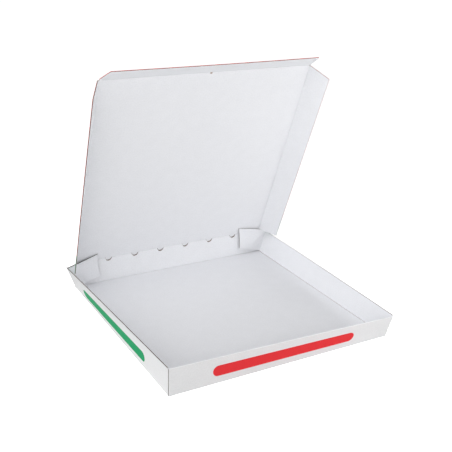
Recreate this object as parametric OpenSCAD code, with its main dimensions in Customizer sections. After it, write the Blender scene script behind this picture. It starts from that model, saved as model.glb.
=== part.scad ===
// Pizza box of white-lined corrugated board, standing open.
// One tray with a double front wall, and a lid with three tuck flaps.
// Millimetres. The origin is at the middle of the tray's underside,
// X runs to the right, Y to the back and Z up.

/* [Board] */
// Thickness of the corrugated board
board = 1.6; // [1.2:0.1:2]
// Gap left on each side of a crease that turns
crease_gap = 0.3; // [0.2:0.05:0.4]

/* [Tray] */
// Width of the base outside, left to right
tray_w = 330; // [280:1:400]
// Depth of the base outside, front to back
tray_d = 336; // [280:1:400]
// Height of the front and side walls
wall_h = 38; // [36:1:50]
// How far the back wall stands above the other walls
back_rise = 2; // [1:0.5:4]
// Outward lean of the side walls at the back, in degrees (plumb at the front)
side_lean = 20; // [19:1:24]
// Outward lean of the front wall at its right end, in degrees (plumb at the left)
front_lean = 18; // [0:1:20]
// Length of the tabs that the double front wall holds
front_tab = 45; // [25:1:60]
// Width of the inner front panel's two lock tabs
lock_w = 40; // [20:1:60]
// Distance between the lock tabs' middles
lock_spread = 160; // [100:1:190]

/* [Corner flaps] */
// Length of the loose flaps in the two back corners
corner_flap = 45; // [30:1:55]
// Angle at which those flaps stand off the back wall, in degrees
corner_swing = 5; // [4:1:10]
// Outward bow of their free ends
corner_bow = 1.5; // [0.5:0.5:3]

/* [Vents] */
// Number of half-moon vents along the lid's crease
vent_count = 6; // [2:2:6]
// Distance between vents
vent_pitch = 44; // [30:1:48]
// Radius of the holes in the back wall
vent_r = 6; // [4:0.5:8]
// Play around the half-moon tabs that stay with the lid
vent_play = 0.6; // [0.4:0.1:1]

/* [Lid] */
// Angle of the lid from closed, in degrees
lid_open = 68; // [0:1:140]
// Play between the tucked side flaps and the side walls
side_play = 0.6; // [0.4:0.1:2]
// Play between the tucked front flap and the front wall
front_play = 6.5; // [5.5:0.5:12]
// Cut-back of the lid and back wall along their outer faces, so the lid can fold back
hinge_bevel = 1; // [0.9:0.1:1.4]
// Radius of the finger nick in the front crease
nick_r = 1.6; // [1:0.1:3]

/* [Lid flaps] */
// Width of the side flaps, from crease to free edge
side_flap = 35; // [25:0.5:36]
// Fold of the side flaps when the lid is closed, in degrees from flat
side_fold_angle = 98; // [96:1:102]
// Unfolding of the side flaps for each degree that the lid opens
side_unfold = 0.44; // [0.4:0.01:0.45]
// Distance from the lid's crease to the side flaps at their fold
flap_start = 4.5; // [4.5:0.5:12]
// How much further back the side flaps start at their free edge
flap_slant = 8; // [8:0.5:20]
// Width of the front flap, from crease to free edge
front_flap = 33; // [20:0.5:34]
// Fold of the front flap when the lid is closed, in degrees from flat
front_fold_angle = 86; // [85:1:90]
// Unfolding of the front flap for each degree that the lid opens
front_unfold = 0.66; // [0.6:0.01:0.67]
// Mitre at the front corners of the flaps
mitre = 6; // [3:0.5:12]

/* [Hidden] */
// Pieces of each bend and steps along each leaning wall
arc_steps = 5;
wall_steps = 12;
// How far two sheets of the tray run into each other where they join
join = 0.8 * board;
// Half width and half depth of the base between its creases
in_w = tray_w / 2 - board;
in_d = tray_d / 2 - board;
// Wall heights above the base's top face
wall_up = wall_h - board;
front_up = wall_up + board / 4;
back_h = wall_h + back_rise;
// The front wall is two boards with a tab's thickness between them
front_wall_t = 3 * board;
// The outer front panel stops a little inside the side walls' outer faces
front_half_w = tray_w / 2 - crease_gap;
// Gap between the corner flaps and the back wall, and their top below the lid
corner_gap = crease_gap;
corner_top = wall_h + back_rise / 2;
// The lid between its creases: half width and length
lid_half_w = in_w - side_play - board;
lid_len = in_d + tray_d / 2 - front_wall_t - board - front_play;
// Folds of the flaps at this angle of the lid
side_fold = side_fold_angle - side_unfold * lid_open;
front_fold = front_fold_angle - front_unfold * lid_open;
board_white = "whitesmoke";
$fn = 48;

// A closed solid through equal loops of points
module loft(loops) {
    count = len(loops[0]);
    last = len(loops) - 1;
    polyhedron(
        points = [for (loop = loops) each loop],
        faces = concat(
            [[for (j = [count - 1:-1:0]) j]],
            [[for (j = [0:count - 1]) last * count + j]],
            [for (i = [0:last - 1], j = [0:count - 1])
                let (k = (j + 1) % count)
                [i * count + j, i * count + k, (i + 1) * count + k]],
            [for (i = [0:last - 1], j = [0:count - 1])
                let (k = (j + 1) % count)
                [i * count + j, (i + 1) * count + k, (i + 1) * count + j]]));
}

// A point [out, up] of a wall's section, leaning outward about the inner crease
function leaned(p, lean) = [
    p[0] * cos(lean) + p[1] * sin(lean),
    p[1] * cos(lean) - p[0] * sin(lean)];

// The bend under a wall, from the base's underside to the wall's outer face
function bend(lean) = [
    for (k = [0:arc_steps])
    let (turn = (90 - lean) * k / arc_steps)
    board * [sin(turn), -cos(turn)]];

// Section of a single wall with its bend, as [out, up] from the inner crease
function wall_section(lean, up) = concat(
    [[0, 0]],
    bend(lean),
    [leaned([board, up], lean), leaned([0, up], lean)]);

// A quarter round of one board's radius, from one side of its centre (1 out, -1 in) to its top
function quarter(centre, side) = [
    for (k = [0:arc_steps])
    let (turn = 90 * k / arc_steps)
    centre + board * [side * cos(turn), sin(turn)]];

// A point on the inner front panel's faces at a height over the base's top face
function front_foot(out, up, lean) = [out, out * tan(lean) + up / cos(lean)];

// Section of the outer front panel with its bend and its round top edge
function outer_section(lean) = concat(
    [[0, 0]],
    bend(lean),
    [for (p = quarter([0, front_up - board], 1)) leaned(p, lean)]);

// Section of the inner front panel, which ends just over the base
function inner_section(lean) =
    let (
        top = quarter([-board, front_up - board], -1),
        foot = [front_foot(-2 * board, crease_gap, lean), front_foot(-board, crease_gap, lean)]
    )
    [for (p = concat([for (k = [arc_steps:-1:0]) top[k]], foot)) leaned(p, lean)];

// Section of the strip on top that joins the two front panels
function roll_section(lean) = [
    for (p = [
        [board / 4, front_up - board], [board / 4, front_up - board / 10],
        [-board * 5 / 4, front_up - board / 10], [-board * 5 / 4, front_up - board]])
    leaned(p, lean)];

// Section of the inner panel's lock tabs, which stand in slots in the base
function lock_section(lean) = [
    for (p = [
        front_foot(-1.2 * board, -join, lean), front_foot(-1.2 * board, 2 * board, lean),
        front_foot(-1.8 * board, 2 * board, lean), front_foot(-1.8 * board, -join, lean)])
    leaned(p, lean)];

// Section of the tabs from the side walls, held between the two front panels
function tab_section(lean) = [
    for (p = [
        [board / 4, board], [board / 4, front_up - board / 2],
        [-board * 5 / 4, front_up - board / 2], [-board * 5 / 4, board]])
    leaned(p, lean)];

// Front wall's lean at a place across the tray
function front_lean_at(x) = front_lean * (x + tray_w / 2) / tray_w;

// A front wall's piece between two places across, from its section at each
module front_piece(x0, x1, section) {
    loft([for (i = [0:wall_steps])
        let (x = x0 + (x1 - x0) * i / wall_steps)
        [for (p = section(front_lean_at(x))) [x, -in_d - p[0], board + p[1]]]]);
}

module front_wall() {
    inner_half_w = in_w - crease_gap;
    front_piece(-front_half_w, front_half_w, function (lean) outer_section(lean));
    front_piece(-inner_half_w, inner_half_w, function (lean) inner_section(lean));
    front_piece(-inner_half_w + board, inner_half_w - board, function (lean) roll_section(lean));
    for (side = [-1, 1]) {
        lock_x = side * lock_spread / 2;
        front_piece(lock_x - lock_w / 2, lock_x + lock_w / 2, function (lean) lock_section(lean));
        tab_x = side * (in_w - front_tab / 2 + board / 4);
        front_piece(tab_x - front_tab / 2, tab_x + front_tab / 2, function (lean) tab_section(lean));
    }
}

// Left wall, from its leaning back end to its front end.
// end_lean is the front wall's lean at this corner, which the front end follows.
module left_wall(end_lean) {
    back_end = in_d - corner_gap;
    front_end = -in_d - join / 2;
    loft([for (i = [0:wall_steps])
        let (
            part = i / wall_steps,
            section = wall_section(side_lean * (1 - part), wall_up)
        )
        [for (p = section)
            [-in_w - p[0],
             back_end + (front_end - p[1] * tan(end_lean) - back_end) * part,
             board + p[1]]]]);
}

// Outline of a corner flap as [along, up] from its crease.
// Its top is cut level, so that the lid closes above it.
module corner_outline() {
    top = function (along)
        (corner_top - board - along * sin(side_lean) * cos(corner_swing)) / cos(side_lean);
    level_from = (corner_top - board - wall_up * cos(side_lean)) / (sin(side_lean) * cos(corner_swing));
    end_up = top(corner_flap);
    polygon(concat(
        [[-join, crease_gap], [-join, wall_up], [max(level_from, 0), min(wall_up, top(0))]],
        [for (k = [0:arc_steps * 2])
            let (part = k / (arc_steps * 2))
            [corner_flap + corner_bow * sin(180 * part), end_up * (1 - part) + crease_gap * part]]));
}

module left_corner_flap() {
    translate([-in_w, in_d - corner_gap - board / 4, board])
        rotate([0, -side_lean, 0])
            rotate([90, 0, -corner_swing])
                linear_extrude(board)
                    corner_outline();
}

module back_wall() {
    vent_x = function (i) (i - (vent_count - 1) / 2) * vent_pitch;
    difference() {
        rotate([90, 0, 90])
            translate([in_d, 0, -tray_w / 2])
                linear_extrude(tray_w) {
                    intersection() {
                        translate([0, board])
                            circle(board);
                        square(board);
                    }
                    polygon([
                        [0, board], [board, board],
                        [board, back_h - crease_gap - hinge_bevel], [0, back_h - crease_gap]]);
                }
        for (i = [0:vent_count - 1])
            translate([vent_x(i), in_d - board, back_h])
                rotate([-90, 0, 0])
                    cylinder(r = vent_r, h = 3 * board);
    }
}

module tray() {
    color(board_white) {
        translate([-in_w, -in_d, 0])
            cube([2 * in_w, 2 * in_d, board]);
        left_wall(0);
        mirror([1, 0, 0])
            left_wall(front_lean);
        front_wall();
        back_wall();
        left_corner_flap();
        mirror([1, 0, 0])
            left_corner_flap();
    }
}

// Puts a piece that is drawn on the closed lid's inner face at the lid's angle
module on_lid() {
    translate([0, in_d, back_h])
        rotate([-lid_open, 0, 0])
            children();
}

module lid() {
    half_w = lid_half_w - crease_gap;
    front = -lid_len + crease_gap;
    color(board_white)
        on_lid() {
            rotate([90, 0, 90])
                translate([0, 0, -half_w])
                    linear_extrude(2 * half_w)
                        polygon([
                            [-crease_gap, 0], [front, 0],
                            [front, board], [-crease_gap - hinge_bevel, board]]);
            // Half-moon tabs that stay in the lid's plane when it opens
            for (i = [0:vent_count - 1])
                translate([(i - (vent_count - 1) / 2) * vent_pitch, 0, 0])
                    cylinder(r = vent_r - vent_play, h = board);
        }
}

// A side flap, drawn flat beside the lid's right edge and then folded inward
module side_flap_piece() {
    on_lid()
        translate([lid_half_w, 0, 0])
            rotate([0, side_fold, 0])
                linear_extrude(board)
                    polygon([
                        [crease_gap, -flap_start],
                        [side_flap, -flap_start - flap_slant],
                        [side_flap, -lid_len + mitre],
                        [crease_gap, -lid_len + crease_gap]]);
}

module lid_right_flap() {
    color(board_white)
        side_flap_piece();
}

module lid_left_flap() {
    color(board_white)
        mirror([1, 0, 0])
            side_flap_piece();
}

module lid_front_flap() {
    color(board_white)
        on_lid()
            translate([0, -lid_len, 0])
                rotate([front_fold, 0, 0])
                    linear_extrude(board)
                        difference() {
                            polygon([
                                [-lid_half_w + crease_gap, -crease_gap],
                                [-lid_half_w + mitre, -front_flap],
                                [lid_half_w - mitre, -front_flap],
                                [lid_half_w - crease_gap, -crease_gap]]);
                            circle(nick_r);
                        }
}

tray();
lid();
lid_front_flap();
lid_left_flap();
lid_right_flap();
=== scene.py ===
"""Looks of the open pizza box: white-lined corrugated board, creases, cut edges and printed bars.

Lengths here are millimetres in the part's frame, and are turned into metres where a mesh is made.
Every point also has a place on the flat blank that the box is folded from. The board's flutes, its
mottling and the print are laid out on that blank, so they run on over the creases.
"""
from math import ceil, cos, pi, radians, sin, sqrt, tan

import bmesh
import bpy
import numpy as np
from mathutils import Matrix


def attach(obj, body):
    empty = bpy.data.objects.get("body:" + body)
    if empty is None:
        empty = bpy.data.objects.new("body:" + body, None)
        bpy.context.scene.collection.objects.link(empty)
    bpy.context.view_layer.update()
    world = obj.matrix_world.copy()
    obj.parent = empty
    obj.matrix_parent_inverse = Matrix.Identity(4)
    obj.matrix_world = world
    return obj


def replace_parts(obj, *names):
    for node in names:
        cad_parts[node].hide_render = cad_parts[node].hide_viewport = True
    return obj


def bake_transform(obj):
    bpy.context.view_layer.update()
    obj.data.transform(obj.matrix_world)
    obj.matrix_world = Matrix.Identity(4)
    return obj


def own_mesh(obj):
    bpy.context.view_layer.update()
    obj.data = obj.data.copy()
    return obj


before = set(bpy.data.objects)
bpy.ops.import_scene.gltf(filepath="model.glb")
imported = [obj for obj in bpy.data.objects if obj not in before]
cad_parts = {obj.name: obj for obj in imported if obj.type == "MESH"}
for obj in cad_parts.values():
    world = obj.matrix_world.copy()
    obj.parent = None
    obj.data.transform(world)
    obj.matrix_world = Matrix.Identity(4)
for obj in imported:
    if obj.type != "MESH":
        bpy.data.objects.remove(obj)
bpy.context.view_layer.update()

MM = 0.001
SIDES = ((-1, "left"), (1, "right"))

# Sizes that the solids have too
BOARD = 1.6
GAP = 0.3
TRAY_W, TRAY_D = 330.0, 336.0
WALL_H, BACK_H = 38.0, 40.0
SIDE_LEAN, FRONT_LEAN = radians(20), radians(18)
IN_W, IN_D = TRAY_W / 2 - BOARD, TRAY_D / 2 - BOARD
WALL_UP = WALL_H - BOARD
FRONT_UP = WALL_UP + BOARD / 4
FRONT_HALF_W = TRAY_W / 2 - GAP
VENTS = [(i - 2.5) * 44.0 for i in range(6)]
SIDE_PLAY, FRONT_PLAY = 0.6, 6.5
OPEN_DEGREES = 68
LID_OPEN = radians(OPEN_DEGREES)
LID_HALF_W = IN_W - SIDE_PLAY - BOARD
LID_LEN = IN_D + TRAY_D / 2 - 4 * BOARD - FRONT_PLAY
SIDE_FLAP, SIDE_FOLD = 35.0, radians(98 - 0.44 * OPEN_DEGREES)
FRONT_FLAP, FRONT_FOLD = 33.0, radians(86 - 0.66 * OPEN_DEGREES)
MITRE = 6.0
NICK_R = 1.6
# The inner front panel's lock tabs, from and to this far from the middle
LOCK = 60.0, 100.0

# Sizes of the looks alone. The half-moon cuts are smaller than in the solids, and dark paper along
# the tabs is painted shade of the slit beside them. It stands up this far, and starts this far
# inside.
VENT_R, TAB_R = 5.4, 5.15
TAB_SHADE_STRIP, SHADE_STRIP_IN = 1.2, 0.3
# The side flaps start nearer to the hinge and slant more than in the solids, and are folded a
# little less towards the front
FLAP_START, FLAP_SLANT = 2.5, 10.0
FLAP_TWIST = radians(6)
# Hollow of the lid panel, sag of the flaps' free edges and depth of the finger nick
LID_HOLLOW = 1.2
SIDE_SAG, FRONT_SAG = 0.3, -0.5
NICK_DEPTH = 0.5

# Free ends of the two corner flaps as [across, up] of their lower and upper corner, as
# photographed, and the bow of that end
CORNER_FREE = {-1: ((125.2, 12.9), (129.2, 51.3)), 1: ((122.6, 14.7), (119.2, 51.6))}
CORNER_END_BOW = 1.5
# Height of their foot at the fold, room behind them, and their length on the blank
CORNER_FOOT, CORNER_BACK, CORNER_LEN = 0.4, 0.4, 38.0
# They stand off the back wall at the free end, more so along the top, which also bows forward and
# upward
CORNER_OFF, CORNER_LEAN = 1.6, 2.4
CORNER_BOW = {-1: 1.2, 1: 1.6}
CORNER_RISE = {-1: 0.2, 1: 4.5}
# Their board is pressed open at the fold, by this share, and its slot of painted shade is this deep
CORNER_OPEN = {-1: 1.5, 1: 0.3}
CORNER_SLOT = {-1: 2.5, 1: 1.5}
CORNER_SUNK = 0.8
# Share of its size by which the slot's direction along the bowed board is found
CORNER_STEP = 0.03
# A closed lid presses their tops on to the plane through this [back, up] point, square to this
# direction
CORNER_PRESS = (IN_D - 1.5, 32.0)
CORNER_AXIS = (-0.5, sqrt(0.75))

# How far the side walls pass the front crease
SIDE_END = 0.2
# The front wall's rolled top: radius of its outer fold, size of its inner one, and how far that
# lies lower, at the left end and from ROLL_RUN along
ROLL_R, ROLL_IN = 0.6, 0.3
ROLL_DROP = 1.0, 4.8
ROLL_RUN = 60.0
# Where the rolled top and the inner panel lie on the blank, from the outer panel's foot
ROLL_PLACES = FRONT_UP + np.arange(8) * 0.7
INSIDE_PLACES = FRONT_UP + 8 + np.linspace(30, 0, 9)
# How far the inner panel stays clear of the side walls, and the foot of the wall's open ends
INSIDE_CLEAR, FRONT_FOOT = 1.0, 0.1
# Room beside the lock tabs, front and back of their slots in boards behind the front crease, and
# the gap in front of them
LOCK_PLAY = 0.5
LOCK_SLOT = 1.0, 2.2
LOCK_GAP = 0.05

# Flute pitch, liner and half the fluted paper as shares of the board's thickness
FLUTE = 3.3
LINER, PAPER = 0.15, 0.06
# Depth shown inside a cut edge, the share of it that the fluted paper lies deeper, the length over
# which the slot runs out at its ends, the share of depth left there, and the longest step along it
CUT_DEPTH, CUT_SUNK = 1.5, 0.4
CUT_END, CUT_LEAST = 2.0, 0.04
CUT_STEP = 6.0
# Slot depths of some cut edges, with the liners' share where it is larger: less painted shade shows
RIM_DEPTH = {-1: CUT_DEPTH, 1: 0.4}
SIDE_FLAP_CUT = {-1: (0.5, 0.2), 1: (0.25, 0.3)}
FRONT_FLAP_CUT = 0.3, 0.3
LOCK_DEPTH = 1.0
# Wave of the fluted paper along the edges that the flutes run beside
SIDE_WAVE, FRONT_WAVE = 40.0, 55.0

# Half width of the bands that bend at a crease, and depth and half width of the score line in them
BEND = 2.0
SCORE, SCORE_HALF_W = 0.7, 0.7
SIDE_SCORE, FOLD_OPEN = 0.4, 0.15
# How much narrower the front flap is at the end of its band
BAND_IN = 0.4
# Where the bands' ends lie on the blank, and the lid's free corners from its crease
BAND_END_PLACE, CORNER_PLACE = 0.1, 3.0
# The walls' feet: how far their bends reach over the base and up the wall, the score line's bottom
# as [out, up] from the inner crease, the height of the dark slit over it, and places on the blank
FOOT_IN, FOOT_UP = 1.0, 0.8
FOOT_NOTCH = (0.9, -0.3)
SIDE_SLIT, BACK_SLIT = 0.4, 0.2
SCORE_PLACES = (-1.0, 0.0, 0.2, 0.4, 0.8)
BEND_PLACES = [k * 0.25 - 1 for k in range(9)]

# Points nearer than this are joined and slivers narrower than this go, both in metres. Folds with
# more than this turn are sharp.
MERGE, SLIVER = 2e-6, 1e-7
SHARP = radians(32)


class Piece:
    """Collects the faces of one piece with a material name each."""

    def __init__(self):
        self.points, self.blank, self.faces, self.kinds = [], [], [], []

    def grid(self, points, blank, kind, facing):
        """Quads over a grid of points. facing is a rough direction of their front side."""
        points, blank = np.asarray(points, float), np.asarray(blank, float)
        rows, cols = points.shape[:2]
        across = points[-1, -1] - points[0, 0]
        along = points[-1, 0] - points[0, -1]
        flip = np.dot(np.cross(across, along), facing) < 0
        start = len(self.points)
        self.points.extend(points.reshape(-1, 3))
        self.blank.extend(blank.reshape(-1, 2))
        for i in range(rows - 1):
            for j in range(cols - 1):
                a = start + i * cols + j
                quad = (a, a + cols, a + cols + 1, a + 1)
                self.faces.append(quad[::-1] if flip else quad)
                self.kinds.append(kind)

    def sheet(self, at, blank, places, facing):
        """Both faces of a panel over a grid of places. at(*place, out) is a point out from its
        inner face, blank(*place) its place on the blank, and facing where that face looks."""
        flat = [[blank(*place) for place in row] for row in places]
        for out, kind, way in ((0.0, "inner", 1), (BOARD, "outer", -1)):
            points = [[at(*place, out) for place in row] for row in places]
            self.grid(points, flat, kind, way * np.asarray(facing))

    def edge(self, at, blank, line, inward, **cut):
        """The cut edge of such a panel along a line of places."""
        cut_edge(self, [at(*place, 0.0) for place in line], [at(*place, BOARD) for place in line],
                 inward, [blank(*place) for place in line], **cut)

    def build(self, name, slot):
        mesh = bpy.data.meshes.new(name)
        kinds = sorted(set(self.kinds))
        for kind in kinds:
            mesh.materials.append(MATERIALS[kind])
        bm = bmesh.new()
        layer = bm.loops.layers.uv.new("blank")
        verts = [bm.verts.new(p * MM) for p in self.points]
        for quad, kind in zip(self.faces, self.kinds):
            face = bm.faces.new([verts[k] for k in quad])
            face.material_index = kinds.index(kind)
            face.smooth = True
            for loop, k in zip(face.loops, quad):
                loop[layer].uv = self.blank[k] * MM
        bmesh.ops.remove_doubles(bm, verts=bm.verts, dist=MERGE)
        bmesh.ops.dissolve_degenerate(bm, edges=bm.edges, dist=SLIVER)
        for edge in bm.edges:
            edge.smooth = len(edge.link_faces) == 2 and edge.calc_face_angle(pi) < SHARP
        bm.to_mesh(mesh)
        bm.free()
        piece = bpy.data.objects.new(name, mesh)
        bpy.context.scene.collection.objects.link(piece)
        return piece


def resample(line, step):
    """Points every step along a polyline, and their places along it."""
    line = np.asarray(line, float)
    lengths = np.r_[0, np.cumsum(np.linalg.norm(np.diff(line, axis=0), axis=1))]
    places = np.linspace(0, lengths[-1], max(2, ceil(lengths[-1] / step) + 1))
    columns = [np.interp(places, lengths, line[:, k]) for k in range(line.shape[1])]
    return np.stack(columns, 1), places


def cut_edge(piece, inner, outer, inward, blank, period=FLUTE, depth=CUT_DEPTH, liner_share=LINER,
             sunk=CUT_SUNK):
    """The board's cut edge: both liners, and the fluted paper between them in a shallow slot of
    painted shade.
    inner and outer are the edge's two lines, inward points into the board, blank is inner's place,
    and sunk is how far the fluted paper lies in the slot, as a share of its depth."""
    lines = np.hstack([inner, outer, np.broadcast_to(inward, np.shape(inner)), blank])
    lines, places = resample(lines, min(period / 8, CUT_STEP))
    inner, outer, inward, blank = lines[:, :3], lines[:, 3:6], lines[:, 6:9], lines[:, 9:]
    inward = inward / np.linalg.norm(inward, axis=1)[:, None]
    through = outer - inner
    out = -inward.mean(0)
    thick = through.mean(0)
    # The slot runs out towards both ends
    run_out = np.minimum(places, places[-1] - places) / CUT_END
    deep = inward * depth * np.clip(run_out, CUT_LEAST, 1.0)[:, None]
    lips = inner + through * liner_share, outer - through * liner_share
    pair = np.stack([blank, blank], 1)

    def strip(a, b, kind, facing):
        piece.grid(np.stack([a, b], 1), pair, kind, facing)

    strip(inner, lips[0], "inner", out)
    strip(lips[1], outer, "outer", out)
    # Painted shade: the slot's sides and floor are dark paper in place of the shade deep in the
    # flutes
    strip(lips[0], lips[0] + deep, "hollow", thick)
    strip(lips[1], lips[1] + deep, "hollow", -thick)
    strip(lips[0] + deep, lips[1] + deep, "hollow", out)
    middle = 0.5 + (0.5 - liner_share - PAPER) * np.sin(2 * pi * places / period)[:, None]
    low, high = (inner + through * (middle + half) + deep * sunk for half in (-PAPER, PAPER))
    strip(low, high, "flute", out)
    strip(low, low + deep * (1 - sunk), "flute", -thick)
    strip(high, high + deep * (1 - sunk), "flute", thick)


def leaned(out, up, lean):
    """A point of a wall's section, leaning outward about its inner crease."""
    return out * cos(lean) + up * sin(lean), up * cos(lean) - out * sin(lean)


def steps(low, high, count):
    return np.linspace(low, high, count + 1)


# Materials

# Noises of the paper, as scale per metre and detail
MOTTLE, GRAIN, FIBRE, RAW = (70.0, 4.0), (480.0, 1.0), (1400.0, 2.0), (900.0, 3.0)
# Shares of mottling and grain in the liner's shade, and its darkest and palest shade
SHADE_MOTTLE, SHADE_GRAIN = 0.3, 0.7
SHADES = 0.91, 1.075
# How well ink covers the paper, and what the fibres add
INK_COVER, INK_FIBRE = 0.945, 0.10
# Relief of the liner: shares of the flutes and the mottling next to the fibres, strength, and
# depth in metres
RELIEF_FLUTES, RELIEF_MOTTLE = 0.35, 2.0
RELIEF, RELIEF_DEPTH = 0.25, 0.00006
# Roughness of the liner, and what the mottling adds
ROUGH, ROUGH_MOTTLE = 0.52, 0.12
LINER_SHINE, RAW_SHINE, RAW_ROUGH = 0.06, 0.1, 0.9

# The inside liner is paler than the outside one: partly their own tones, partly painted light for
# how each side is lit
INSIDE_WHITE, OUTSIDE_WHITE = (0.868, 0.874, 0.898), (0.762, 0.763, 0.77)
RED, GREEN = (0.76, 0.033, 0.040), (0.001, 0.31, 0.115)

# Where the lid's crease lies on the blank
BACK_V = IN_D + BACK_H - BOARD
# Printed bars, as middle and half size on the blank
FRONT_BAR = (-0.5, -(IN_D + 17.0)), (105.5, 7.7)
LEFT_BAR = (-(IN_W + 15.5), 6.2), (7.4, 106.8)
# Softness of the print's edge, and how far outside a crease it starts
PRINT_EDGE, PRINT_OFF = 0.2, 1.0
# The flaps' print is green up to here along the lid, and red from there
GREEN_END = 0.15 * LID_LEN


class Nodes:
    """The node tree of a material or world, with short calls for the nodes used here."""

    def __init__(self, owner, shader):
        owner.use_nodes = True
        self.owner, self.tree = owner, owner.node_tree
        self.shader = self.tree.nodes[shader].inputs

    def add(self, kind, **settings):
        node = self.tree.nodes.new("ShaderNode" + kind)
        for key, value in settings.items():
            setattr(node, key, value)
        return node

    def link(self, source, target):
        self.tree.links.new(source, target)

    def fill(self, sockets, values):
        """Links inputs to other nodes' outputs, or sets them."""
        for socket, value in zip(sockets, values):
            if isinstance(value, bpy.types.NodeSocket):
                self.link(value, socket)
            else:
                socket.default_value = value

    def blank(self):
        """The place on the blank, in metres."""
        return self.add("UVMap", uv_map="blank").outputs[0]

    def split(self, vector):
        node = self.add("SeparateXYZ")
        self.link(vector, node.inputs[0])
        return node.outputs

    def math(self, operation, *values, clamp=False):
        node = self.add("Math", operation=operation, use_clamp=clamp)
        self.fill(node.inputs, values)
        return node.outputs[0]

    def vector(self, operation, *values):
        node = self.add("VectorMath", operation=operation)
        self.fill(node.inputs, values)
        return node.outputs["Value" if operation == "LENGTH" else "Vector"]

    def noise(self, vector, scale, detail):
        node = self.add("TexNoise")
        node.inputs["Scale"].default_value = scale
        node.inputs["Detail"].default_value = detail
        self.link(vector, node.inputs["Vector"])
        return node.outputs["Fac"]

    def mix(self, share, a, b):
        """Mixes two colours, each a node's output or three numbers."""
        node = self.add("Mix", data_type="RGBA")
        a, b = ((*c, 1.0) if isinstance(c, tuple) else c for c in (a, b))
        self.fill((node.inputs[0], node.inputs[6], node.inputs[7]), (share, a, b))
        return node.outputs[2]


def bar(n, place, middle, half):
    """1 inside a printed bar with round ends."""
    middle, half = ([c * MM for c in pair] for pair in (middle, half))
    radius = min(half)
    straight = tuple(h - radius for h in half) + (0.0,)
    away = n.vector("ABSOLUTE", n.vector("SUBTRACT", place, (*middle, 0.0)))
    beyond = n.vector("MAXIMUM", n.vector("SUBTRACT", away, straight), (0.0, 0.0, 0.0))
    inside = n.math("SUBTRACT", radius, n.vector("LENGTH", beyond))
    return n.math("MULTIPLY", inside, 1 / (PRINT_EDGE * MM), clamp=True)


def lid_flaps(n, place, low, high):
    """1 on the lid's flaps between two places along the lid."""
    across, along, _ = n.split(place)
    beside = n.math("GREATER_THAN", n.math("ABSOLUTE", across), (LID_HALF_W + PRINT_OFF) * MM)
    ahead = n.math("GREATER_THAN", along, (BACK_V + LID_LEN + PRINT_OFF) * MM)
    after = n.math("GREATER_THAN", along, (BACK_V + low) * MM)
    before = n.math("LESS_THAN", along, (BACK_V + high) * MM)
    return n.math("MULTIPLY", n.math("MAXIMUM", beside, ahead), n.math("MULTIPLY", after, before))


def liner(name, white, prints=()):
    """White liner paper: soft mottling, grain, fibres, and the flutes showing through as faint
    lines. prints are masks, each with what else it is called with and its ink."""
    n = Nodes(bpy.data.materials.new(name), "Principled BSDF")
    place = n.blank()
    mottle, grain, fibre = (n.noise(place, *noise) for noise in (MOTTLE, GRAIN, FIBRE))
    flutes = n.math("SINE", n.math("MULTIPLY", n.split(place)["Y"], 2 * pi / (FLUTE * MM)))
    shade = n.math("MULTIPLY_ADD", mottle, SHADE_MOTTLE, n.math("MULTIPLY", grain, SHADE_GRAIN))
    colour = n.mix(shade, *(tuple(min(1.0, c * level) for c in white) for level in SHADES))
    for mask, spot, ink in prints:
        cover = n.math("MULTIPLY_ADD", fibre, INK_FIBRE, INK_COVER)
        share = n.math("MULTIPLY", mask(n, place, *spot), cover, clamp=True)
        colour = n.mix(share, colour, ink)
    n.link(colour, n.shader["Base Color"])
    bump = n.add("Bump")
    bump.inputs["Strength"].default_value = RELIEF
    bump.inputs["Distance"].default_value = RELIEF_DEPTH
    paper = n.math("MULTIPLY_ADD", mottle, RELIEF_MOTTLE, fibre)
    n.link(n.math("MULTIPLY_ADD", flutes, RELIEF_FLUTES, paper), bump.inputs["Height"])
    n.link(bump.outputs[0], n.shader["Normal"])
    n.link(n.math("MULTIPLY_ADD", mottle, ROUGH_MOTTLE, ROUGH), n.shader["Roughness"])
    n.shader["Specular IOR Level"].default_value = LINER_SHINE
    return n.owner


def core(name, dark, pale):
    """Raw brown-grey paper of the flutes, or a darker copy as painted shade deep in their channels.
    """
    n = Nodes(bpy.data.materials.new(name), "Principled BSDF")
    n.link(n.mix(n.noise(n.blank(), *RAW), dark, pale), n.shader["Base Color"])
    n.shader["Roughness"].default_value = RAW_ROUGH
    n.shader["Specular IOR Level"].default_value = RAW_SHINE
    return n.owner


MATERIALS = {
    "inner": liner("inner_liner", INSIDE_WHITE),
    "outer": liner("outer_liner", OUTSIDE_WHITE,
                   ((bar, FRONT_BAR, RED), (bar, LEFT_BAR, GREEN),
                    (lid_flaps, (GREEN_END, 2 * LID_LEN), RED),
                    (lid_flaps, (PRINT_OFF, GREEN_END), GREEN))),
    "flute": core("fluted_paper", (0.40, 0.32, 0.28), (0.54, 0.44, 0.39)),
    # Painted shade: paper darkened to stand for the shade deep in the flutes' channels
    "hollow": core("painted_flute_shade", (0.14, 0.11, 0.095), (0.21, 0.172, 0.147)),
}


# Tray

def foot_score(slit, lean):
    """The score line inside a wall's foot and the slit over it, as [out, up] from its crease."""
    return [(-FOOT_IN, 0.0), (0.0, 0.0), FOOT_NOTCH, leaned(0.0, slit, lean),
            leaned(0.0, FOOT_UP, lean)]


def foot_bend(lean):
    """The round bend outside a wall's foot, as [out, up] from its inner crease."""
    turns = [(pi / 2 - lean) * k / 6 for k in range(7)]
    arc = [(BOARD * sin(a), -BOARD * cos(a)) for a in turns]
    return [(-FOOT_IN, -BOARD)] + arc + [leaned(BOARD, FOOT_UP, lean)]


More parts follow.
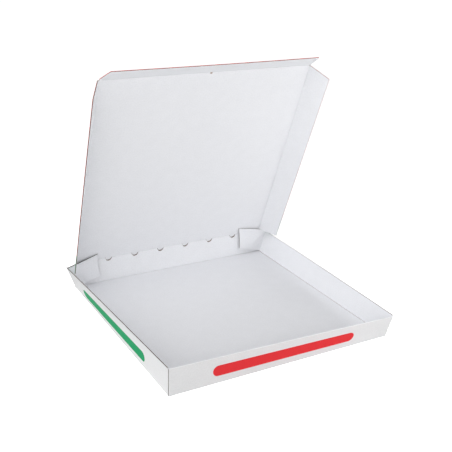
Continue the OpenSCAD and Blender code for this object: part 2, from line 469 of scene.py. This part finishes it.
def side_wall(piece, side, end_lean):
    """A side wall with its bend, from the leaning back end to the plumb front end."""
    back, front = IN_D - GAP, -IN_D - SIDE_END
    parts = steps(0, 1, 60)

    def at(part, up, out):
        o, u = leaned(out, up, SIDE_LEAN * (1 - part))
        y = back + (front - u * tan(end_lean) - back) * part
        return (side * (IN_W + o), y, BOARD + u)

    def blank(part, up):
        return side * (IN_W + up), back + (front - back) * part

    ups = steps(FOOT_UP, WALL_UP, 10)
    piece.sheet(at, blank, [[(p, u) for u in ups] for p in parts], (-side, 0, 0.3))
    # The score line inside and the bend outside, drawn without the lean's turn of the base
    score, score_blank, bend, bend_blank = [], [], [], []
    for p in parts:
        lean, y = SIDE_LEAN * (1 - p), back + (front - back) * p
        score.append([(side * (IN_W + o), y, BOARD + u) for o, u in foot_score(SIDE_SLIT, lean)])
        score_blank.append([(side * (IN_W + s), y) for s in SCORE_PLACES])
        bend.append([(side * (IN_W + o), y, BOARD + u) for o, u in foot_bend(lean)])
        bend_blank.append([(side * (IN_W + s), y) for s in BEND_PLACES])
    # The score line's middle is brown flute paper: partly the scored liner's core, partly painted
    # shade of the crease
    for low, high, kind in ((0, 2, "inner"), (1, 4, "flute"), (3, 5, "inner")):
        piece.grid([row[low:high] for row in score], [row[low:high] for row in score_blank], kind,
                   (-side, 0, 1))
    piece.grid(bend, bend_blank, "outer", (side, 0, -1))
    down = [np.subtract(at(p, 0.0, 0.0), at(p, WALL_UP, 0.0)) for p in parts]
    piece.edge(at, blank, [(p, WALL_UP) for p in parts], down, depth=RIM_DEPTH[side])
    # The back end, which carries the corner flap, is closed by the fold's round outer face
    turns = steps(0, pi / 2, 5)
    ends = [[at(0, u, BOARD * cos(a)) + np.array([0.0, BOARD * sin(a), 0.0]) for a in turns]
            for u in ups]
    piece.grid(ends, [[blank(0, u)] * len(turns) for u in ups], "outer", (side, 1, 0))


def upright(piece, x0, x1, y0, y1, kind, way):
    """The four upright faces of a slot in the base (way -1) or of a tab in it (way 1)."""
    ring = [(x0, y0), (x1, y0), (x1, y1), (x0, y1), (x0, y0)]
    for (ax, ay), (bx, by) in zip(ring, ring[1:]):
        facing = way * (ax + bx - x0 - x1), way * (ay + by - y0 - y1), 0
        piece.grid([[(ax, ay, 0.0), (ax, ay, BOARD)], [(bx, by, 0.0), (bx, by, BOARD)]],
                   [[(ax, ay)] * 2, [(bx, by)] * 2], kind, facing)


def base(piece):
    """The base's two faces, with the front wall's lock tabs in their slots."""
    near, far = LOCK[0] - LOCK_PLAY, LOCK[1] + LOCK_PLAY
    slot = [-IN_D + boards * BOARD for boards in LOCK_SLOT]
    xs = np.unique(np.r_[steps(-IN_W + FOOT_IN, IN_W - FOOT_IN, 40), [-far, -near, near, far]])
    ys = np.unique(np.r_[[-IN_D + FOOT_IN], slot, steps(-IN_D + 6, IN_D - FOOT_IN, 40)])
    for z, kind, facing in ((BOARD, "inner", (0, 0, 1)), (0.0, "outer", (0, 0, -1))):
        for i in range(len(xs) - 1):
            for j in range(len(ys) - 1):
                middle_x, middle_y = xs[i:i + 2].mean(), ys[j:j + 2].mean()
                if near < abs(middle_x) < far and slot[0] < middle_y < slot[1]:
                    continue
                flat = [[(x, y) for y in ys[j:j + 2]] for x in xs[i:i + 2]]
                piece.grid([[(x, y, z) for x, y in row] for row in flat], flat, kind, facing)
    for low, high in ((-far, -near), (near, far)):
        upright(piece, low, high, *slot, "flute", -1)
        left, right = low + LOCK_PLAY, high - LOCK_PLAY
        front, back = slot[0] + LOCK_GAP, -IN_D + 2 * BOARD
        upright(piece, left, right, front, back, "inner", 1)
        foot = steps(left, right, 4)
        cut_edge(piece, [(x, back, 0.0) for x in foot], [(x, front, 0.0) for x in foot], (0, 0, 1),
                 [(x, back) for x in foot], depth=LOCK_DEPTH)


def back_wall(piece):
    """The back wall up to the lid's crease, with half-moon cuts in its top."""
    cuts = [centre - VENT_R * cos(a) for centre in VENTS for a in steps(0, pi, 20)]
    xs = np.unique(np.round(np.r_[cuts, steps(-TRAY_W / 2, TRAY_W / 2, 66)], 4))

    def top(x):
        away = min(abs(x - c) for c in VENTS)
        return BACK_H - max(BEND, sqrt(max(0.0, VENT_R**2 - away**2)))

    def at(x, z, out):
        return (x, IN_D + out, z)

    def edge_blank(x, z):
        return (x, IN_D + z)

    low = BOARD + FOOT_UP
    places = [[(x, low + (top(x) - low) * k) for k in steps(0, 1, 8)] for x in xs]
    piece.sheet(at, lambda x, z: (x, IN_D + z - BOARD), places, (0, -1, 0))
    for profile, spots, kind, facing in (
            (foot_score(BACK_SLIT, 0.0), SCORE_PLACES, "inner", (0, -1, 1)),
            (foot_bend(0.0), BEND_PLACES, "outer", (0, 1, -1))):
        piece.grid([[(x, IN_D + o, BOARD + u) for o, u in profile] for x in xs],
                   [[(x, IN_D + s) for s in spots] for x in xs], kind, facing)
    # The cuts' edges
    for centre in VENTS:
        arc = [(centre - VENT_R * cos(a), BACK_H - VENT_R * sin(a)) for a in steps(0, pi, 24)]
        piece.grid([[at(x, z, 0.0), at(x, z, BOARD)] for x, z in arc],
                   [[edge_blank(x, z)] * 2 for x, z in arc], "flute", (0, 0, 1))
    # The wall's ends, and its top beside the lid
    for side in (-1, 1):
        end, high = side * TRAY_W / 2, BACK_H - BEND
        piece.edge(at, edge_blank, [(end, GAP), (end, high)], (-side, 0, 0))
        beside = steps(side * (LID_HALF_W - 1), end, 4)
        piece.edge(at, edge_blank, [(x, high) for x in beside], (0, 0, -1))


def front_wall(piece):
    """The double front wall: outer panel, rolled top and inner panel."""
    xs = steps(-FRONT_HALF_W, FRONT_HALF_W, 60)

    def lean_at(x):
        return FRONT_LEAN * (x + TRAY_W / 2) / TRAY_W

    def row(x, profile):
        return [(x, -IN_D - o, BOARD + u) for o, u in (leaned(*p, lean_at(x)) for p in profile)]

    def face(profile, places, kind, facing, clear=0.0):
        columns = [x for x in xs if abs(x) <= FRONT_HALF_W - clear]
        piece.grid([row(x, profile(x)) for x in columns],
                   [[(x, -IN_D - s) for s in places] for x in columns], kind, facing)

    def inner_top(x):
        """Height of the fold between the rolled top and the inner panel."""
        run = min(1.0, (x + FRONT_HALF_W) / ROLL_RUN)
        return FRONT_UP - ROLL_DROP[0] - (ROLL_DROP[1] - ROLL_DROP[0]) * sin(run * pi / 2)

    def roll(x):
        arc = [(BOARD - ROLL_R * (1 - cos(a)), FRONT_UP - ROLL_R * (1 - sin(a)))
               for a in steps(0, pi / 2, 5)]
        return arc + [(-2 * BOARD + ROLL_IN, inner_top(x) + ROLL_IN), (-2 * BOARD, inner_top(x))]

    def inside(x):
        return [(-2 * BOARD, u) for u in steps(0.0, inner_top(x), 8)]

    ups = steps(FOOT_UP, FRONT_UP - ROLL_R, 10)
    face(lambda x: [(BOARD, u) for u in ups], ups, "outer", (0, -1, 0))
    face(roll, ROLL_PLACES, "inner", (0, 0, 1))
    face(inside, INSIDE_PLACES, "inner", (0, 1, 0), clear=INSIDE_CLEAR)
    piece.grid([[(x, -IN_D - o, BOARD + u) for o, u in foot_bend(lean_at(x))] for x in xs],
               [[(x, -IN_D - s) for s in BEND_PLACES] for x in xs], "outer", (0, -1, -1))
    # Open flutes at the outer panel's ends, and the inner faces that close the wall's ends
    for side in (-1, 1):
        x = side * FRONT_HALF_W
        heights = steps(FRONT_FOOT, FRONT_UP - BOARD / 2, 6)
        cut_edge(piece, row(x, [(0.0, u) for u in heights]), row(x, [(BOARD, u) for u in heights]),
                 (-side, 0, 0), [(x, -IN_D - u) for u in heights])
        share = inner_top(x) / FRONT_UP
        piece.grid([row(x, [(0.0, u), (-2 * BOARD, u * share)]) for u in heights],
                   [[(x, -IN_D - u)] * 2 for u in heights], "inner", (side, 0, 0))


def corner_flap(side):
    """A loose corner flap at the back, as its part under the closed lid's height and its raised
    top. It rises with the leaning side wall that it is folded from, and its board is pressed open
    at the fold. Its places are share a from the fold to the free end, and share k from the lower
    to the upper edge."""
    low, high = CORNER_FREE[side]

    def at(a, k, out):
        root_up = CORNER_FOOT + (WALL_UP - CORNER_FOOT) * k
        root = IN_W + root_up * sin(SIDE_LEAN), BOARD + root_up * cos(SIDE_LEAN)
        bow = CORNER_END_BOW * sin(pi * k)
        free = low[0] + (high[0] - low[0]) * k + bow, low[1] + (high[1] - low[1]) * k
        rise = CORNER_RISE[side] * (1 - (1 - a)**6) * (1 - a) * max(0.0, 2 * k - 1)
        top_off = (CORNER_LEAN * a + CORNER_BOW[side] * sin(pi * a)) * k**4
        back = IN_D - GAP - CORNER_BACK - CORNER_OFF * a**2 - top_off
        opened = 1 + CORNER_OPEN[side] * (1 - a) * k**8
        return (side * (root[0] + (free[0] - root[0]) * a), back - (BOARD - out) * opened,
                root[1] + (free[1] - root[1]) * a + rise)

    def blank(a, k):
        return side * (IN_W + k * WALL_UP), IN_D + CORNER_LEN * a

    def above(a, k):
        """Distance over the plane that the closed lid presses it on to."""
        _, back, up = at(a, k, BOARD)
        return (back - CORNER_PRESS[0]) * CORNER_AXIS[0] + (up - CORNER_PRESS[1]) * CORNER_AXIS[1]

    fine = steps(0, 1, 200)

    def level(a):
        """Share k at that plane, or the upper edge where that is lower."""
        return float(np.interp(0.0, [above(a, k) for k in fine], fine))

    rise_from = float(np.interp(0.0, [above(a, 1) for a in fine], fine))
    under, raised = Piece(), Piece()
    for piece, columns, first, last in (
            (under, np.unique(np.r_[steps(0, 1, 16), rise_from]), lambda a: 0.0, level),
            (raised, steps(rise_from, 1, 16), level, lambda a: 1.0)):
        places = [[(a, first(a) + (last(a) - first(a)) * k) for k in steps(0, 1, 8)]
                  for a in columns]
        piece.sheet(at, blank, places, (0, -1, 0))

    def edge(piece, line, to_a, to_k):
        """A cut edge whose slot runs along the bowed board, by the shares to_a and to_k."""
        near, deeper = ([at(a + to_a * far, k + to_k * far, 0.0) for a, k in line]
                        for far in (0.0, CORNER_STEP))
        piece.edge(at, blank, line, np.subtract(deeper, near), depth=CORNER_SLOT[side],
                   sunk=CORNER_SUNK)

    edge(under, [(a, 0.0) for a in steps(0, 1, 16)], 0, 1)
    edge(under, [(1.0, k) for k in steps(0, level(1), 8)], -1, 0)
    if rise_from > 0:
        edge(under, [(a, 1.0) for a in steps(0, rise_from, 6)], 0, -1)
    edge(raised, [(1.0, k) for k in steps(level(1), 1, 6)], -1, 0)
    edge(raised, [(a, 1.0) for a in steps(rise_from, 1, 16)], 0, -1)
    return under, raised


tray = Piece()
base(tray)
side_wall(tray, -1, 0.0)
side_wall(tray, 1, FRONT_LEAN)
back_wall(tray)
front_wall(tray)
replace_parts(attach(tray.build("tray_board", "tray_board"), "tray"), "tray")
for side, word in SIDES:
    under, raised = corner_flap(side)
    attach(under.build(f"{word}_corner_flap", "tray_board"), "tray")
    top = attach(raised.build(f"{word}_corner_flap_top", "tray_board"), "tray")
    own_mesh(top)


# Lid

def on_lid(x, along, out):
    """A place on the open lid: along from its crease, out from its inner face."""
    return (x, IN_D - along * cos(LID_OPEN) + out * sin(LID_OPEN),
            BACK_H + along * sin(LID_OPEN) + out * cos(LID_OPEN))


IN_NORMAL = np.subtract(on_lid(0, 0, -1), on_lid(0, 0, 0))
LID_DIR = np.subtract(on_lid(0, 1, 0), on_lid(0, 0, 0))


def on_lid_bowed(x, along, out):
    """The same with the panel's slight hollow, which is nothing at its edges."""
    return on_lid(x, along,
                  out + LID_HOLLOW * cos(pi * x / 2 / LID_HALF_W) * sin(pi * along / LID_LEN))


def side_fold_at(along):
    return SIDE_FOLD - FLAP_TWIST * along / LID_LEN


def side_flap_at(side, off, along, out):
    """A place on a side flap: off from its crease, along the lid, out from its inner face."""
    fold = side_fold_at(along)
    return on_lid(side * (LID_HALF_W + off * cos(fold) + out * sin(fold)), along,
                  -off * sin(fold) + out * cos(fold))


def front_flap_at(x, off, out):
    """A place on the front flap: off from its crease, out from its inner face."""
    return on_lid(x, LID_LEN + off * cos(FRONT_FOLD) + out * sin(FRONT_FOLD),
                  -off * sin(FRONT_FOLD) + out * cos(FRONT_FOLD))


def lid_blank(x, along):
    return (x, BACK_V + along)


def lid_panel():
    piece = Piece()
    xs = steps(-LID_HALF_W + BEND, LID_HALF_W - BEND, 40)
    alongs = steps(BEND, LID_LEN - BEND, 40)
    piece.sheet(on_lid_bowed, lid_blank, [[(x, a) for a in alongs] for x in xs], IN_NORMAL)
    # Half-moon tabs that stay in the lid's plane, with dark paper along their cut: painted shade of
    # the slit
    for centre in VENTS:
        turns = steps(0, pi, 20)
        rim = [(centre - TAB_R * cos(t), -TAB_R * sin(t)) for t in turns]
        shade_strip_r = TAB_R - SHADE_STRIP_IN
        shade_strip = [[on_lid(centre - shade_strip_r * cos(t), -shade_strip_r * sin(t), 0.0),
                on_lid(x, a, -TAB_SHADE_STRIP * sin(t)), on_lid(x, a, BOARD)]
               for t, (x, a) in zip(turns, rim)]
        piece.grid(shade_strip, [[lid_blank(x, a)] * 3 for x, a in rim], "hollow", -LID_DIR)
        rim = [(centre - VENT_R, BEND)] + rim + [(centre + VENT_R, BEND)]
        places = [[(x, BEND + (a - BEND) * k) for k in steps(0, 1, 4)] for x, a in rim]
        piece.sheet(on_lid, lid_blank, places, IN_NORMAL)
    # The short free edges beside the crease, where no flap is
    for side in (-1, 1):
        corner = [[(side * (LID_HALF_W - BEND + k), a) for a in (BEND, FLAP_START)]
                  for k in (0.0, BEND - GAP)]
        piece.sheet(on_lid, lambda x, a: lid_blank(x, CORNER_PLACE), corner, IN_NORMAL)
        x = side * (LID_HALF_W - GAP)
        piece.edge(on_lid, lid_blank, [(x, a) for a in (BEND, FLAP_START)], (-side, 0, 0))
    return piece


def side_flap(side):
    """A side flap with its mitre in front and its slanted back end."""
    piece = Piece()

    def row(off):
        share = off / SIDE_FLAP
        low, high = FLAP_START + FLAP_SLANT * share, LID_LEN - GAP - (MITRE - GAP) * share
        return [(off, low + (high - low) * k) for k in steps(0, 1, 40)]

    def at(off, along, out):
        sag = SIDE_SAG * (off / SIDE_FLAP) ** 2 * sin(pi * along / LID_LEN)
        return side_flap_at(side, off, along, out + sag)

    def blank(off, along):
        return lid_blank(side * (LID_HALF_W + off), along)

    rows = [row(off) for off in steps(BEND, SIDE_FLAP, 8)]
    facing = np.subtract(side_flap_at(side, 5, 100, -1), side_flap_at(side, 5, 100, 0))
    piece.sheet(at, blank, rows, facing)
    to_crease = np.subtract(side_flap_at(side, 0, 0, 0), side_flap_at(side, 1, 0, 0))
    depth, liner_share = SIDE_FLAP_CUT[side]
    for line, inward, period in ((rows[-1], to_crease, FLUTE),
                                 ([row[0] for row in rows], LID_DIR, SIDE_WAVE),
                                 ([row[-1] for row in rows], -LID_DIR, SIDE_WAVE)):
        piece.edge(at, blank, line, inward, period=period, depth=depth, liner_share=liner_share)
    return piece


def front_flap():
    """The front flap with its mitred ends."""
    piece = Piece()

    def half(off):
        return LID_HALF_W - GAP - (MITRE - GAP) * off / FRONT_FLAP

    def at(off, share, out):
        sag = FRONT_SAG * (off / FRONT_FLAP) ** 2 * cos(pi / 2 * share)
        return front_flap_at(half(off) * share, off, out + sag)

    def blank(off, share):
        return lid_blank(half(off) * share, LID_LEN + off)

    offs, shares = steps(BEND, FRONT_FLAP, 8), steps(-1, 1, 60)
    facing = np.subtract(front_flap_at(0, 5, -1), front_flap_at(0, 5, 0))
    piece.sheet(at, blank, [[(o, k) for o in offs] for k in shares], facing)
    to_crease = np.subtract(front_flap_at(0, 0, 0), front_flap_at(0, 1, 0))
    depth, liner_share = FRONT_FLAP_CUT
    for line, inward, period in (([(FRONT_FLAP, k) for k in shares], to_crease, FRONT_WAVE),
                                 ([(o, -1.0) for o in offs], (1, 0, 0), FLUTE),
                                 ([(o, 1.0) for o in offs], (-1, 0, 0), FLUTE)):
        piece.edge(at, blank, line, inward, period=period, depth=depth, liner_share=liner_share)
    return piece


def crease(inner, outer, blank, facing, kind="inner"):
    """A bent band of board: inner and outer are its two faces' rows along the crease."""
    piece = Piece()
    piece.grid(inner, blank(len(inner[0])), kind, facing)
    piece.grid(outer, blank(len(outer[0])), "outer", -np.asarray(facing))
    # The two ends, where the outer row has more points than the inner one
    for row in (0, -1):
        a, b = np.asarray(inner[row]), np.asarray(outer[row])
        places, a_places = np.linspace(0, 1, len(b)), np.linspace(0, 1, len(a))
        a = np.stack([np.interp(places, a_places, a[:, k]) for k in range(3)], 1)
        line = np.stack([a, b], 1)
        piece.grid(line, np.full((*line.shape[:2], 2), BAND_END_PLACE), "flute",
                   np.subtract(inner[row][0], inner[-1 - row][0]))
    return piece


def side_crease(side):
    """The crease between the lid and a side flap."""
    alongs = steps(FLAP_START, LID_LEN - GAP, 40)
    inner, outer = [], []
    for a in alongs:
        fold = side_fold_at(a)
        turns, half = [fold * k / 5 for k in range(6)], fold / 2
        inner.append([on_lid(side * (LID_HALF_W - BEND), a, 0.0),
                      on_lid(side * (LID_HALF_W - FOLD_OPEN), a, 0.0),
                      on_lid(side * (LID_HALF_W + SIDE_SCORE * sin(half)), a,
                             SIDE_SCORE * cos(half)),
                      side_flap_at(side, FOLD_OPEN, a, 0.0), side_flap_at(side, BEND, a, 0.0)])
        arc = [on_lid(side * (LID_HALF_W + BOARD * sin(t)), a, BOARD * cos(t)) for t in turns]
        outer.append([on_lid(side * (LID_HALF_W - BEND), a, BOARD), *arc,
                      side_flap_at(side, BEND, a, BOARD)])

    def blank(count):
        return [[lid_blank(side * (LID_HALF_W + s), a) for s in steps(-BEND, BEND, count - 1)]
                for a in alongs]

    facing = np.subtract(on_lid(0, 0, -1), on_lid(side, 0, 0))
    return crease(inner, outer, blank, facing)


def front_crease(low, high, sunk=0.0):
    """The front crease between two shares across the lid. sunk is the depth of the nick."""
    shares = steps(low, high, 20)
    turns, half = [FRONT_FOLD * k / 5 for k in range(6)], FRONT_FOLD / 2
    score = max(SCORE, sunk)
    inner, outer = [], []
    for k in shares:
        x, wide = (LID_HALF_W - BEND) * k, (LID_HALF_W - GAP - BAND_IN) * k
        inner.append([on_lid(x, LID_LEN - BEND, 0.0), on_lid(x, LID_LEN - SCORE_HALF_W, sunk),
                      on_lid(x, LID_LEN + score * sin(half), score * cos(half)),
                      front_flap_at(wide, SCORE_HALF_W, sunk), front_flap_at(wide, BEND, 0.0)])
        arc = [on_lid(x, LID_LEN + BOARD * sin(t), BOARD * cos(t)) for t in turns]
        outer.append([on_lid(x, LID_LEN - BEND, BOARD), *arc, front_flap_at(wide, BEND, BOARD)])

    def blank(count):
        return [[lid_blank(LID_HALF_W * k, LID_LEN + s) for s in steps(-BEND, BEND, count - 1)]
                for k in shares]

    return crease(inner, outer, blank, IN_NORMAL - LID_DIR, "flute" if sunk else "inner")


def back_crease(low, high):
    """The lid's crease between two places across, each with whether a half-moon cut is there."""
    turn = pi / 2 - LID_OPEN
    shares = steps(0, 1, 12)

    def across(k, below):
        """Place across at a depth under the crease, where the cuts' arcs leave a wider band."""
        wider = VENT_R - sqrt(VENT_R**2 - below**2)
        a = low[0] - wider * low[1]
        b = high[0] + wider * high[1]
        return a + (b - a) * k

    inner, outer = [], []
    for k in shares:
        x, deep = across(k, 0.0), across(k, BEND)
        inner.append([(deep, IN_D, BACK_H - BEND),
                      (across(k, SCORE_HALF_W), IN_D, BACK_H - SCORE_HALF_W),
                      (x, IN_D + SCORE * cos(turn / 2), BACK_H + SCORE * sin(turn / 2)),
                      on_lid(x, SCORE_HALF_W, 0.0), on_lid(x, BEND, 0.0)])
        arc = [(x, IN_D + BOARD * cos(t), BACK_H + BOARD * sin(t)) for t in (0, turn / 2, turn)]
        outer.append([(deep, IN_D + BOARD, BACK_H - BEND), *arc, on_lid(x, BEND, BOARD)])

    def blank(count):
        return [[lid_blank(across(k, 0.0), s) for s in steps(-BEND, BEND, count - 1)]
                for k in shares]

    return crease(inner, outer, blank, IN_NORMAL)


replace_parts(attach(lid_panel().build("lid_panel", "lid_board"), "lid"), "lid")
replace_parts(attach(front_flap().build("front_flap", "flap_board"), "lid_front_flap"),
            "lid_front_flap")
nick = NICK_R / LID_HALF_W
for word, low, high, sunk in (("left", -1, -nick, 0.0), ("nick", -nick, nick, NICK_DEPTH),
                              ("right", nick, 1, 0.0)):
    piece = front_crease(low, high, sunk).build(f"front_flap_crease_{word}", "lid_board")
    [c * MM for c in front_flap_at(0, BEND, 0)]
    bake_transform(piece)
for side, word in SIDES:
    body = f"lid_{word}_flap"
    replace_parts(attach(side_flap(side).build(f"{word}_flap", "flap_board"), body), body)
    piece = side_crease(side).build(f"{word}_flap_crease", "lid_board")
    [c * MM for c in side_flap_at(side, BEND, 0, 0)]
    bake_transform(piece)
ends = [(-LID_HALF_W + GAP, False)]
for centre in VENTS:
    ends += [(centre - VENT_R, True), (centre + VENT_R, True)]
ends.append((LID_HALF_W - GAP, False))
for k in range(0, len(ends), 2):
    piece = back_crease(ends[k], ends[k + 1]).build(f"lid_crease_{k // 2}", "lid_board")
    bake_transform(piece)


# Stage, in metres

# Brightness of the room towards the back, the front and the left, as axis, sign and brightness
ROOM = (("Y", 1, 0.6), ("Y", -1, 0.1), ("X", -1, 1.05))
# The floor's size, height, colour and roughness, and the white that the camera sees on it besides
# its lit colour
FLOOR_SIZE, FLOOR_Z = 12, -0.0004
FLOOR_COLOUR, FLOOR_ROUGH = (0.92, 0.92, 0.92, 1), 0.9
FLOOR_WHITE = 0.7
# Place, size and power of the lamps, and where they point
LAMPS = {
    "left": ((-1.7, -0.5, 0.6), 1.2, 3.6),
    "front_left": ((-1.3, -1.6, 0.9), 1.3, 6.8),
    "top": ((-0.6, -0.8, 1.9), 1.4, 10.6),
    "right": ((1.1, -0.9, 0.5), 0.6, 1.8),
    "near_right": ((0.5, -0.75, 0.3), 0.35, 1.8),
    "near_low": ((0.55, -0.8, 0.1), 0.3, 0.5),
}
LAMPS_AIM = (0, 0, 0.1)
# The camera that fits the photograph's creases, with rows of right, down and forward, and its focal
# length and the photograph's width in pixels
CAMERA_AT = (-0.505183, -0.891964, 0.527555)
CAMERA_ROWS = ((0.873489, -0.486178, 0.025444), (-0.15439, -0.326192, -0.932611),
               (0.461715, 0.810697, -0.359986))
FOCAL_PX, PHOTO_PX = 786.5, 452
SENSOR_MM = 36.0

scene = bpy.context.scene

bpy.ops.mesh.primitive_plane_add(size=FLOOR_SIZE, location=(0, 0, FLOOR_Z))
floor = bpy.context.object
floor.name = "floor"
n = Nodes(bpy.data.materials.new("floor"), "Principled BSDF")
n.shader["Base Color"].default_value = FLOOR_COLOUR
n.shader["Roughness"].default_value = FLOOR_ROUGH
n.shader["Specular IOR Level"].default_value = 0.0
n.shader["Emission Color"].default_value = (1, 1, 1, 1)
path = n.add("LightPath").outputs
seen = n.math("MAXIMUM", path["Is Camera Ray"],
              n.math("MAXIMUM", path["Is Glossy Ray"], path["Is Transmission Ray"]))
n.link(n.math("MULTIPLY", seen, FLOOR_WHITE), n.shader["Emission Strength"])
floor.data.materials.append(n.owner)

# The camera sees the room plain white
scene.world = bpy.data.worlds.new("studio")
n = Nodes(scene.world, "Background")
n.shader["Color"].default_value = (1.0, 1.0, 1.0, 1)
direction = n.split(n.add("TexCoord").outputs["Generated"])
room = 0.0
for axis, sign, brightness in ROOM:
    towards = n.math("MULTIPLY", direction[axis], sign, clamp=True)
    room = n.math("MULTIPLY_ADD", towards, brightness, room)
level = n.add("Mix")
level.inputs["B"].default_value = 1.0
n.link(n.add("LightPath").outputs["Is Camera Ray"], level.inputs["Factor"])
n.link(room, level.inputs["A"])
n.link(level.outputs[0], n.shader["Strength"])


def place_object(name, data, right, up, backward, at):
    """Adds a lamp or camera with these axes."""
    thing = bpy.data.objects.new(name, data)
    scene.collection.objects.link(thing)
    rows = [[*row] for row in np.c_[right, up, backward, at]]
    thing.matrix_world = Matrix(rows + [[0, 0, 0, 1]])
    return thing


for name, (at, size, power) in LAMPS.items():
    light = bpy.data.lights.new(name, "AREA")
    light.shape = "DISK"
    light.size = size
    light.energy = power
    backward = np.subtract(at, LAMPS_AIM) / np.linalg.norm(np.subtract(at, LAMPS_AIM))
    right = np.cross((0, 0, 1), backward)
    right /= np.linalg.norm(right)
    lamp = place_object(name, light, right, np.cross(backward, right), backward, at)
    lamp.visible_camera = False

right, down, forward = (np.array(row) for row in CAMERA_ROWS)
lens = bpy.data.cameras.new("camera")
lens.sensor_width = SENSOR_MM
lens.lens = FOCAL_PX / PHOTO_PX * SENSOR_MM
lens.clip_start = 0.01
scene.camera = place_object("camera", lens, right, -down, -forward, CAMERA_AT)
scene.view_settings.view_transform = "Standard"
